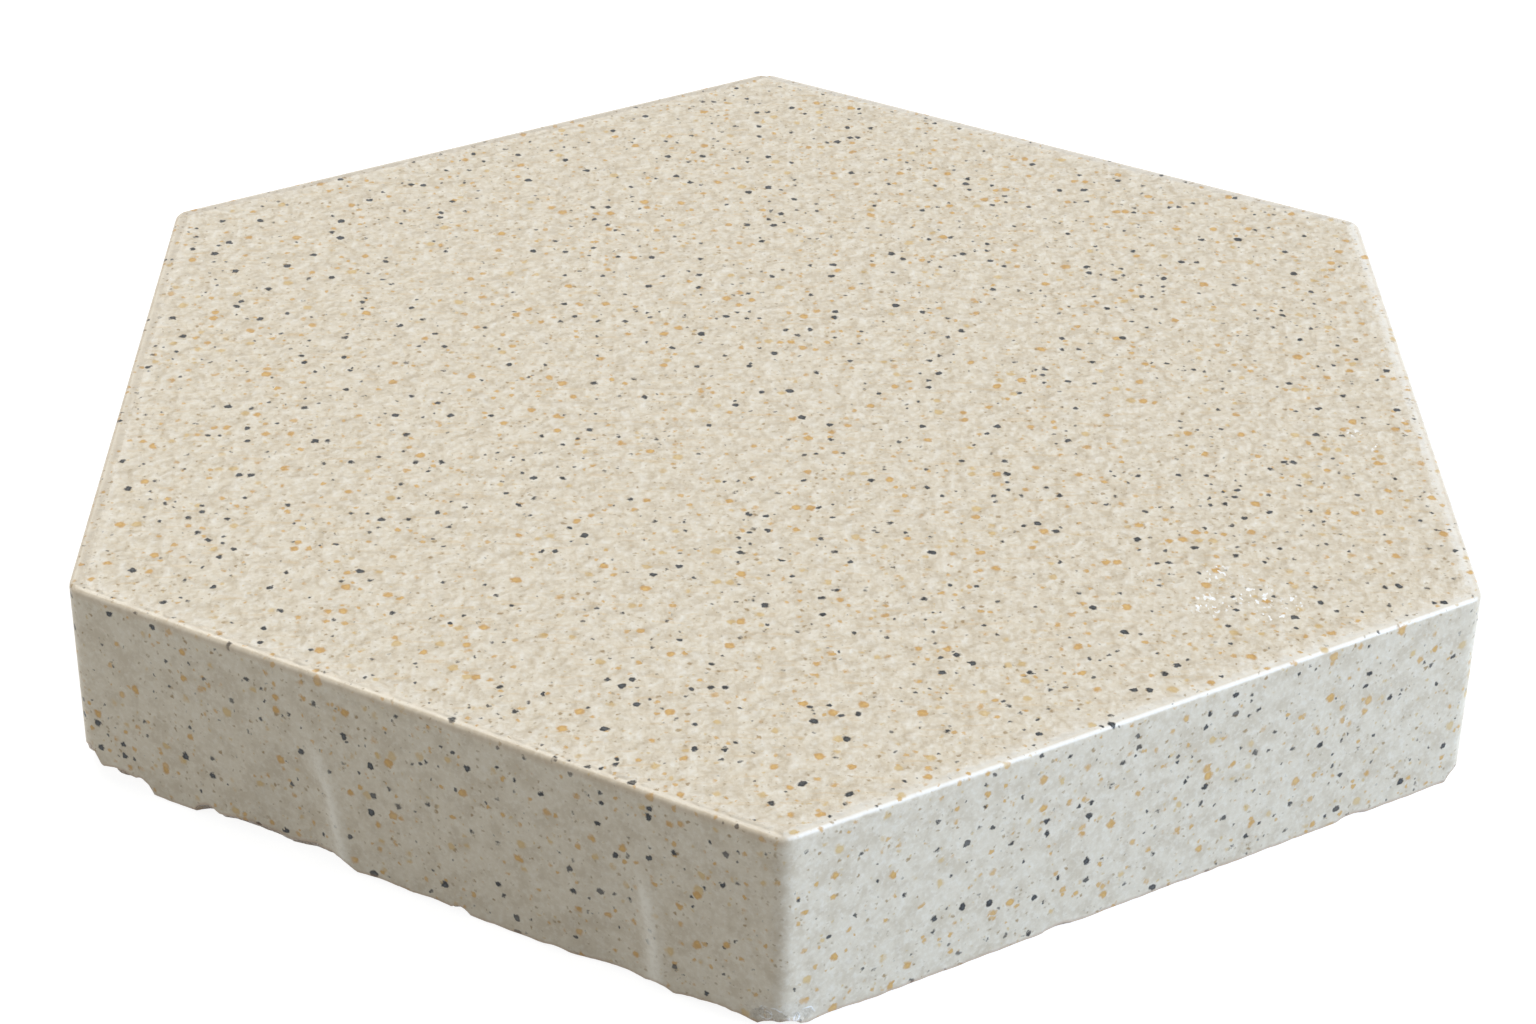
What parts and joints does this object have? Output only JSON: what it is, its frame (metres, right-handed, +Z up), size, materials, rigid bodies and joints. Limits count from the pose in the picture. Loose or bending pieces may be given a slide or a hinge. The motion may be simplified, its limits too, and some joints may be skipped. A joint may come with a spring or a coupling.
{
  "type": "hexagon floor tile",
  "caption": "Thick hexagonal unglazed stoneware floor tile with a speckled wearing face, a keyed back and chipped lower edges.",
  "frame": {"origin": "middle of the underside, on the plane that the tile rests on", "axes": "+Z up through the wearing face; +Y through a corner, from the corner at the picture's front to the one at its back; +X square to a side"},
  "size_m": [0.1, 0.115, 0.016],
  "materials": {
    "stoneware": "unglazed speckled stoneware with a satin surface"
  },
  "bodies": {
    "root": {"hexagon_tile": "stoneware"}
  },
  "joints": []
}
